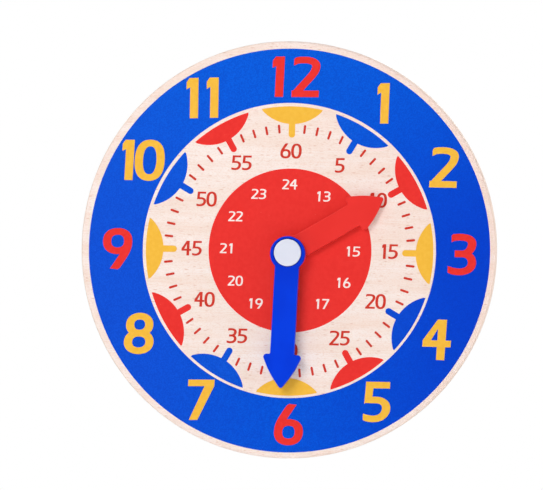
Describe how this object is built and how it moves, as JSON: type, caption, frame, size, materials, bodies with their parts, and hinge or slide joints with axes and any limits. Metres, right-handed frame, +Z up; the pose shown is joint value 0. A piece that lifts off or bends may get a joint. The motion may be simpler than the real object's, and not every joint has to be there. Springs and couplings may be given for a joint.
{
  "type": "geared teaching clock",
  "caption": "Round wooden learning clock: a printed dial, and an hour and a minute hand geared together in a case behind the board that hangs by a keyhole.",
  "frame": {"origin": "where the dial's axis meets the wall that the clock hangs on, in the plane of the clear cover's rear face", "axes": "+X to 3 o'clock, +Y along the dial's axis into the wall, +Z up to 12 o'clock; the dial faces -Y"},
  "size_m": [0.2, 0.0278, 0.1999],
  "materials": {
    "beech_plywood": "satin, printed on the dial side",
    "red_plastic": "semi-gloss",
    "blue_plastic": "semi-gloss",
    "pale_plastic": "semi-gloss",
    "case_plastic": "fine moulded texture",
    "clear_plastic": "clear, polished",
    "yellow_gear_plastic": "satin",
    "red_gear_plastic": "satin",
    "blue_gear_plastic": "satin",
    "nylon": "natural",
    "brass": "turned",
    "steel": "zinc plated"
  },
  "bodies": {
    "root": {"dial_board": "beech_plywood", "centre_bush": "brass", "hour_washer": "nylon", "gear_case": "case_plastic", "case_screws": "steel", "idler_stud": "steel", "idler_clip": "steel", "rear_bush": "brass", "friction_spring": "steel", "case_cover": "clear_plastic", "cover_screws": "steel"},
    "hour": {"hour_wheel": "red_gear_plastic", "hour_hand": "red_plastic", "hand_washer": "nylon"},
    "minute": {"minute_arbor": "steel", "cannon_pinion": "blue_gear_plastic", "minute_hand": "blue_plastic", "hand_screw": "steel", "hub_cap": "pale_plastic"},
    "idler": {"minute_wheel": "yellow_gear_plastic"}
  },
  "joints": [
    {"name": "minute_spin", "type": "hinge", "parent": "root", "child": "minute", "pos_m": [0, -0.02, 0], "axis": [0, 1, 0], "continuous": true},
    {"name": "idler_spin", "type": "hinge", "parent": "root", "child": "idler", "pos_m": [0, -0.0072, -0.02415], "axis": [0, 1, 0], "continuous": true},
    {"name": "hour_spin", "type": "hinge", "parent": "root", "child": "hour", "pos_m": [0, -0.02, 0], "axis": [0, 1, 0], "continuous": true}
  ],
  "couplings": [
    {"joint": "idler_spin", "follows": "minute_spin", "ratio": -0.33333},
    {"joint": "hour_spin", "follows": "minute_spin", "ratio": 0.083333}
  ]
}
